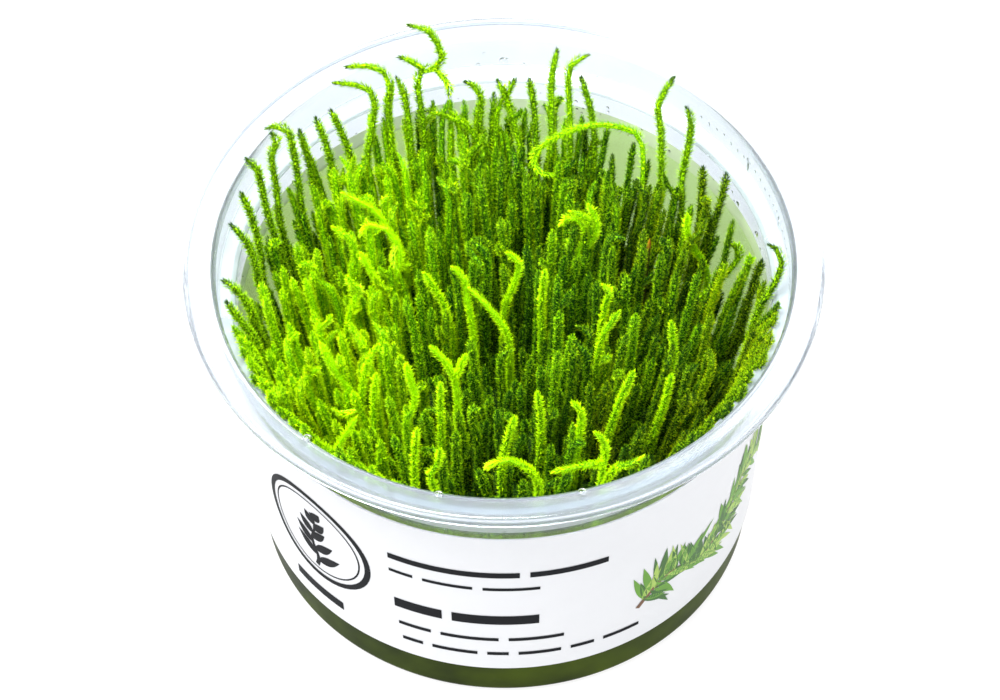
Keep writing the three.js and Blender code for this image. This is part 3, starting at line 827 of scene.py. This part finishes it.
# Lighter and darker places: place, reach across and backwards, and by how much
DAY_LIGHT = 0.305
LIGHT_SPOTS = [
    (-32, -10, 13, 24, 0.48), (-20, -8, 12, 22, 0.32), (-20, 27, 17, 14, 0.36),
    (-2, 27, 14, 13, 0.1), (38, -4, 12, 16, 0.15), (2, -34, 16, 11, -0.1), (33, -27, 12, 10, -0.1),
]

# Hollows in the turf: place, reach, depth and how much older and browner the moss is there
HOLLOWS = [
    (-10, -15, 5, 13, 0), (-11.5, -7, 4, 10, 0), (-4, -24, 5, 8, 0.2), (15, -19, 4.5, 13, 0.7),
    (2.5, -5, 5, 11, 0.3), (29, -24, 6, 8, 0.5), (38, -12, 5, 8, 0.5), (-26, -4, 4, 8, 0.2),
    (-31, 13, 5, 10, 0.2), (17, 25, 3.5, 16, 0.2), (23.5, 14, 4.5, 13, 0.6), (-14, 16, 4, 8, 0.1),
    (5, 14, 5, 8, 0.2), (32, 7.5, 3.5, 9, 0.3),
]


def unit(vectors):
    return vectors / np.maximum(np.linalg.norm(vectors, axis=-1, keepdims=True), 1e-9)


def smooth_line(route, spacing=0.7):
    """Evenly spaced points along a smooth curve through a route."""
    points = np.array(route, float)
    padded = np.vstack([2 * points[0] - points[1], points, 2 * points[-1] - points[-2]])
    knots = np.maximum(np.linalg.norm(np.diff(padded, axis=0), axis=1), 0.001) ** 0.5
    t = np.linspace(0, 1, 10, endpoint=False)[:, None]
    parts = []
    for k in range(1, len(points)):
        a, b, c, d = padded[k - 1 : k + 3]
        before, here, after = knots[k - 1 : k + 2]
        leave = ((b - a) / before - (c - a) / (before + here) + (c - b) / here) * here
        arrive = ((c - b) / here - (d - b) / (here + after) + (d - c) / after) * here
        square = 3 * (c - b) - 2 * leave - arrive
        cube = 2 * (b - c) + leave + arrive
        parts.append(b + leave * t + square * t**2 + cube * t**3)
    line = np.vstack([*parts, points[-1:]])
    travelled = np.append(0, np.cumsum(np.linalg.norm(np.diff(line, axis=0), axis=1)))
    even = np.linspace(0, travelled[-1], max(5, int(travelled[-1] / spacing) + 1))
    smooth = np.stack([np.interp(even, travelled, line[:, i]) for i in range(3)], axis=1)
    return smooth, travelled[-1]


def side_directions(line):
    """The direction of a line at each point, and two directions across it that don't twist."""
    along = unit(np.gradient(line, axis=0))
    side = unit(np.cross(along[0], (0.31, 0.94, 0.12)))
    sides = []
    for direction in along:
        side = unit(side - direction * side.dot(direction))
        sides.append(side)
    sides = np.array(sides)
    return along, sides, np.cross(along, sides)


def stem_tube(line, length, sides, fronts, radius):
    """A round stem along a line, drawn in to a point at its tip."""
    rings = np.unique(np.append(np.arange(0, len(line), 4), len(line) - 1))
    turns = (np.arange(STEM_SIDES) * 2 * math.pi / STEM_SIDES)[:, None]
    taper = radius * np.clip((len(line) - 1 - rings) / len(line) * length / 1.2, 0.03, 1)
    spokes = np.cos(turns) * sides[rings][:, None] + np.sin(turns) * fronts[rings][:, None]
    points = (line[rings][:, None] + spokes * taper[:, None, None]).reshape(-1, 3)
    a = np.arange(len(points) - STEM_SIDES).reshape(-1, STEM_SIDES)
    b = np.roll(a, -1, axis=1)
    halves = [a, b, b + STEM_SIDES, a, b + STEM_SIDES, a + STEM_SIDES]
    return points, np.stack(halves, axis=2).reshape(-1, 3)


def depth_fade(height, light):
    """How much of a shoot's light is left at a height: lime shoots keep most of it."""
    lowest = 0.5 + 0.28 * min(1, max(0, (light - 0.5) / 0.4))
    return lowest + (1 - lowest) * np.clip((height - 30) / 28, 0, 1)


def leafy_shoot(route, light, age, stem, dark_tip=0.0, shaggy=0.0, leafy=12.0, deep=None):
    """One shoot: a stem closely set with small narrow leaves.

    Its light goes over to the deep value below its tip. Returns its vertices, triangles, and
    the light and age values of each vertex.
    """
    if deep is None:
        deep = light
    line, length = smooth_line(route)
    along, sides, fronts = side_directions(line)
    leafy = min(leafy, length)
    close = int(leafy * LEAVES_PER_MM)
    loose = int((length - leafy) * DEEP_LEAVES_PER_MM)
    count = close + loose
    to_tip = np.append(np.linspace(0.02, leafy, close), np.linspace(leafy, length, loose))
    at = (1 - to_tip / length) * (len(line) - 1)
    low = np.minimum(at.astype(int), len(line) - 2)
    part = (at - low)[:, None]
    centre = line[low] * (1 - part) + line[low + 1] * part
    up = along[low]
    turn = np.arange(count) * GOLDEN_ANGLE + chance.normal(0, 0.3, count)
    outward = np.cos(turn)[:, None] * sides[low] + np.sin(turn)[:, None] * fronts[low]
    across = np.cross(up, outward)
    closing = np.clip(to_tip / 1.5, 0, 1)
    spread = LEAF_ANGLE + 22 * shaggy
    angle = np.radians(chance.normal(spread, 9, count)) * (0.3 + 0.7 * closing)
    size = LEAF_LENGTH * (1 + 0.4 * shaggy) * chance.normal(1, 0.18, count)
    size = (size * (0.65 + 0.35 * closing))[:, None]
    cos = np.cos(angle)[:, None]
    sin = np.sin(angle)[:, None]
    direction = up * cos + outward * sin
    lifted = outward * cos - up * sin
    base = centre + outward * stem * (0.3 + 0.55 * closing)[:, None]
    half = across * LEAF_HALF_WIDTH * size
    tip = base + direction * size + lifted * 0.08 * size
    leaves = np.stack([base + half, tip, base - half], axis=1).reshape(-1, 3)
    triangles = np.arange(count * 3).reshape(-1, 3)
    below = np.clip((to_tip - LIME_TIP) / LIME_TIP, 0, 1)
    glow = (light + (deep - light) * below) * depth_fade(centre[:, 2], light)
    glow += chance.normal(0, LEAF_NOISE, count) - dark_tip * np.exp(-((to_tip / 1.1) ** 2))
    leaf_glow = (glow[:, None] + (-0.22, 0.38, -0.22)).reshape(-1)

    stem_points, stem_faces = stem_tube(line, length, sides, fronts, stem)
    stem_glow = deep * 0.8 * depth_fade(stem_points[:, 2], light) - 0.12
    vertices = np.vstack([leaves, stem_points])
    return (
        vertices,
        np.vstack([triangles, stem_faces + len(leaves)]),
        np.append(leaf_glow, stem_glow),
        np.full(len(vertices), age),
    )


def moss_piece(name, shoots, material, node):
    """Several shoots joined into one piece, with their light and age values kept on it."""
    points, triangles, lights, ages = zip(*shoots)
    starts = np.cumsum([0, *map(len, points[:-1])])
    faces = np.vstack([part + start for part, start in zip(triangles, starts)])
    mesh = new_mesh(name, np.vstack(points), faces.tolist())
    keep_values(mesh, "leaf_light", np.concatenate(lights))
    keep_values(mesh, "leaf_age", np.concatenate(ages))
    finish_piece(mesh, material, "moss", node)


def moss_reach(angle):
    facing = max(0, math.cos(angle - BACK_GAP_ANGLE))
    return MOSS_REACH - BACK_GAP * facing * facing


def rooted(route):
    """A route that goes on down into the mat, nearer to the axis."""
    x, y, z = route[0]
    inward = 1 - (1 - ROOT_SHARE) * ((z - ROOT_HEIGHT) / (TURF_TIPS - ROOT_HEIGHT))
    return [(x * inward, y * inward, ROOT_HEIGHT + 1), *route]


def spot(x, y, centre_x, centre_y, reach_x, reach_y):
    """1 at a place in the turf, falling off smoothly to 0 round it."""
    return math.exp(-(((x - centre_x) / reach_x) ** 2) - ((y - centre_y) / reach_y) ** 2)


def day_light(x, y):
    """How light the moss is at a place: limes at the front left, deep green on the right."""
    return DAY_LIGHT + sum(change * spot(x, y, *where) for *where, change in LIGHT_SPOTS)


def lit_below(light, route):
    """The light lower down on a shoot that has a light of its own at its tip."""
    x, y, _ = route[-1]
    return min(light, day_light(x, y) + 0.3)


def moss_age(x, y):
    """How old and brown the moss is at a place: most on the right."""
    right = 1 / (1 + math.exp(-(x - 20) / 5))
    return 0.06 + 0.3 * right + sum(
        brown * spot(x, y, at_x, at_y, reach, reach) for at_x, at_y, reach, _, brown in HOLLOWS
    )


def route_marks():
    """Points along the parts of the standing shoots and special routes that are to be seen."""
    routes = [*STANDING_SHOOTS.values(), *FORKED_BRANCHES.values(), *TURF_ROUTES]
    return np.vstack([smooth_line(route)[0] for _, *route in routes])


def height_in_sight(x, y, marks):
    """How tall a shoot may be at a place without hiding a standing shoot behind it."""
    behind = marks[:, 1] - y
    near = (np.abs(marks[:, 0] - x) < 1.6) & (behind > 0.3) & (behind < 15)
    near &= marks[:, 2] > 53
    if not near.any():
        return TURF_TIPS + 10
    return float(np.min(marks[near, 2] + SIGHT_SLOPE * behind[near])) - 1.5


def turf_shoot(i, marks):
    """The route, light and age of an ordinary shoot, spread evenly by the golden angle."""
    angle = i * GOLDEN_ANGLE
    share = math.sqrt((i + 0.5) / TURF_SHOOTS)
    in_front = math.atan2(math.sin(angle), math.cos(angle)) < FRONT_END
    spread = 1.04 if in_front else 0.985
    out = moss_reach(angle) * share * spread
    x = out * math.cos(angle) + chance.uniform(-0.9, 0.9)
    y = out * math.sin(angle) + chance.uniform(-0.9, 0.9)
    even = spot(x, y, *EVEN_STRETCH)
    back = min(1, max(0, (y - 8) / 16))
    tall = chance.random() < 0.2 + 0.34 * even + 0.3 * back
    low = chance.uniform(7, 27) * (1 - 0.45 * even - 0.3 * back)
    drop = chance.uniform(0, 6) if tall else low
    drop += 5 * spot(x, y, *FRONT_DIP)
    drop += sum(
        depth * spot(x, y, at_x, at_y, reach, reach) for at_x, at_y, reach, depth, _ in HOLLOWS
    )
    if share > 0.8 and not in_front:
        drop += 1.5
    height = TURF_TIPS + 1.2 + TURF_SLOPE * y - drop
    height = max(min(height, height_in_sight(x, y, marks)), 36)
    rise = height - ROOT_HEIGHT
    foot = np.array((x * ROOT_SHARE, y * ROOT_SHARE - BACK_LEAN * rise, ROOT_HEIGHT))
    tip = np.array((x, y, height))
    sway = np.array((*chance.uniform(-SWAY, SWAY, 2), 0))
    route = [foot, (foot + tip) / 2 + sway, tip]
    light = day_light(x, y) + chance.normal(0, 0.1) + 0.12 * tall
    age = moss_age(x, y) + chance.normal(0, 0.12)
    return angle, route, light, min(1, max(0, age)), tall


def lip_shoot(degrees):
    """A tall shoot at the side of the cup, bent out over the ledge to the lip."""
    angle = math.radians(degrees + chance.uniform(-1.3, 1.3))
    reach = chance.uniform(43.2, 44)
    height = chance.uniform(57.8, 61)
    profile = [(35, ROOT_HEIGHT + 1), (38.8, 44), (41.1, 54), (reach - 0.5, 57.6), (reach, height)]
    route = [(r * math.cos(angle), r * math.sin(angle), z) for r, z in profile]
    x, y, _ = route[-1]
    return route, day_light(x, y) + chance.normal(0.1, 0.1), moss_age(x, y)


def bent_tip(route):
    """The same route with its last few millimetres turned to one side."""
    x, y, z = route[-1]
    turn = chance.uniform(0, 2 * math.pi)
    lean = chance.uniform(0.8, 2.4)
    aside = (x + lean * math.cos(turn), y + lean * math.sin(turn), z + chance.uniform(-0.6, 1.2))
    return [*route[:-1], (x, y, z - 1.8), aside]


def side_branch(route):
    """A short branch that leaves a shoot below its tip."""
    a, b = np.array(route[-2:])
    start = a + (b - a) * chance.uniform(0.35, 0.7)
    turn = chance.uniform(0, 2 * math.pi)
    away = np.array((math.cos(turn), math.sin(turn), 0))
    rise = np.array((0, 0, chance.uniform(3, 5.5)))
    return [start, start + away * 1.4 + rise * 0.4, start + away * 2.1 + rise]


def inside_cup(route):
    """A route kept clear of the cup's wall."""
    kept = []
    for x, y, z in route:
        room = wall_radius(min(z, 55)) - WALL - 1.1
        if z > 57:
            room = COLLAR_RADIUS - WALL - 0.9
        shrink = min(1, room / max(math.hypot(x, y), 0.01))
        kept.append((x * shrink, y * shrink, z))
    return kept


def make_turf():
    """The turf: hundreds of upright shoots, joined in a few wedges round the cup."""
    wedges = [[] for _ in range(TURF_PIECES)]

    def wedge_at(angle):
        return wedges[int(angle / (2 * math.pi) % 1 * TURF_PIECES)]

    marks = route_marks()
    for i in range(TURF_SHOOTS):
        angle, route, light, age, tall = turf_shoot(i, marks)
        x, y, _ = route[-1]
        if tall and chance.random() < BENT_SHARE:
            route = bent_tip(route)
        route = inside_cup(route)
        dark_tip = 0.3 if y > 12 or x > 22 else 0
        leafy = TALL_LEAFY if tall else LOW_LEAFY
        shoot = leafy_shoot(route, light, age, STEM, dark_tip, 0.3 * chance.random(), leafy)
        wedge_at(angle).append(shoot)
        if tall and chance.random() < BRANCHED_SHARE:
            branch = inside_cup(side_branch(route))
            wedge_at(angle).append(leafy_shoot(branch, light, age, THIN_STEM, dark_tip))
    for degrees in LIP_SHOOTS:
        shoot = leafy_shoot(*lip_shoot(degrees), STEM, shaggy=0.3, leafy=22)
        wedge_at(math.radians(degrees)).append(shoot)
    for light, *route in TURF_ROUTES:
        x, y, _ = route[-1]
        if route[0][2] < 52:
            route = rooted(route)
        deep = lit_below(light, route)
        shoot = leafy_shoot(route, light + LIME_LIFT, 0, 0.34, 0, 0.35, 20, deep)
        wedge_at(math.atan2(y, x)).append(shoot)
    for number, shoots in enumerate(wedges):
        moss_piece(f"moss_turf_{number + 1}", shoots, turf_leaves, "moss_turf")


def make_standing_shoots():
    """Each shoot that stands out, as a piece of its own."""
    for name, (light, *route) in {**STANDING_SHOOTS, **FORKED_BRANCHES}.items():
        if name in STANDING_SHOOTS:
            route = rooted(route)
        dark_tip, age = 0, 0
        if light < LIME:
            dark_tip, age = 0.9, 0.2 + max(0, 0.55 - light) * 1.5
        leaves, bright, stem, shaggy = shoot_leaves, light + 0.04, STEM, 0.6
        deep = bright
        if light > LIME:
            leaves, bright, stem, shaggy = lime_leaves, light + LIME_LIFT, 0.37, 0.25
            deep = lit_below(light, route)
        shoot = leafy_shoot(route, bright, age, stem, dark_tip, shaggy, 26, deep)
        moss_piece(f"{name}_leaves", [shoot], leaves, name)


def make_bare_stem():
    """The one old stem without leaves that shows orange brown between the shoots."""
    route = [(22.5, 11.5, MAT_HEIGHT - 1), (23, 12.4, 40), (23.3, 13, 46), (23.6, 13.5, 50.5)]
    line, length = smooth_line(route)
    _, sides, fronts = side_directions(line)
    points, faces = stem_tube(line, length, sides, fronts, THIN_STEM)
    mesh = new_mesh("bare_stem", points, faces.tolist())
    mesh.shade_smooth()
    finish_piece(mesh, old_stem(), "moss", "moss_turf")


def make_mat():
    """The close mat that the shoots rise from: a bumpy dark body from the gel up."""
    top = MAT_HEIGHT
    reach_shares = [
        (0, GEL_TOP + GAP), (0.9, GEL_TOP + GAP), (0.955, 14), (0.96, 20), (0.96, top - 6),
        (0.94, top - 3), (0.9, top - 1), (0.8, top), (0.65, top), (0.5, top), (0.35, top),
        (0.2, top), (0, top),
    ]
    mesh = turned_mesh("moss_mat", reach_shares, 120)
    for vertex in mesh.vertices:
        x, y, z = vertex.co / MM
        lump = 1 + 0.012 * math.sin(31 * x + 0.7 * z) * math.sin(37 * y)
        reach = moss_reach(math.atan2(y, x)) * lump
        room = wall_radius(z) - WALL - GAP - 0.2
        scale = min(reach, room / max(math.hypot(x, y), 0.01))
        rise = 1.3 * math.sin(25 * x) * math.cos(29 * y) if z > top - 4 else 0
        vertex.co = Vector((x * scale, y * scale, z + rise)) * MM
    for kind, value in (("leaf_light", 0.12), ("leaf_age", 0.2)):
        keep_values(mesh, kind, np.full(len(mesh.vertices), value))
    finish_piece(mesh, mat_moss, "moss", "moss_turf")


turf_leaves = moss_leaf("turf_leaves", (0.007, 0.05, 0.001), (0.17, 0.45, 0), (0.5, 0.83, 0))
shoot_leaves = moss_leaf(
    "standing_shoot_leaves", (0.012, 0.055, 0), (0.19, 0.47, 0), (0.46, 0.84, 0), 0.8
)
lime_leaves = moss_leaf("lime_shoot_leaves", (0.04, 0.14, 0), (0.31, 0.62, 0), (0.5, 0.86, 0), 0.35)
mat_moss = moss_leaf("mat_moss", (0.005, 0.03, 0), (0.04, 0.14, 0), (0.2, 0.4, 0))

make_cup()
make_label()
make_print()
make_gel()
make_drops()
make_mat()
make_turf()
make_bare_stem()
make_standing_shoots()


# Floor, light and colour


def make_floor():
    bpy.ops.mesh.primitive_plane_add(size=6, location=(0, 0, -0.0002))
    floor = bpy.context.object
    floor.name = "studio_floor"
    pale = {"Base Color": (0.16, 0.16, 0.16, 1), "Roughness": 0.9}
    lit = {"Emission Color": (1, 1, 1, 1), "Emission Strength": 0.86}
    floor.data.materials.append(start_material("pale_floor", {**pale, **lit})[0])


def add_lamp(name, place, size, watts):
    lamp = add_object(name, bpy.data.lights.new(name, "AREA"))
    lamp.data.size = size
    lamp.data.energy = watts
    lamp.location = place
    aim = Vector((0, 0, 0.05)) - Vector(place)
    lamp.rotation_euler = aim.to_track_quat("-Z", "Y").to_euler()


def light_studio():
    world = bpy.data.worlds.new("studio")
    world.use_nodes = True
    white = {"Color": (1, 1, 1, 1), "Strength": 1.0}
    feed(world.node_tree, world.node_tree.nodes["Background"], white)
    scene.world = world
    add_lamp("key_lamp", (-0.16, -0.08, 0.72), 0.45, 14.3)
    add_lamp("back_lamp", (0.25, 0.5, 0.55), 0.4, 5)
    scene.view_settings.view_transform = "Standard"


make_floor()
light_studio()
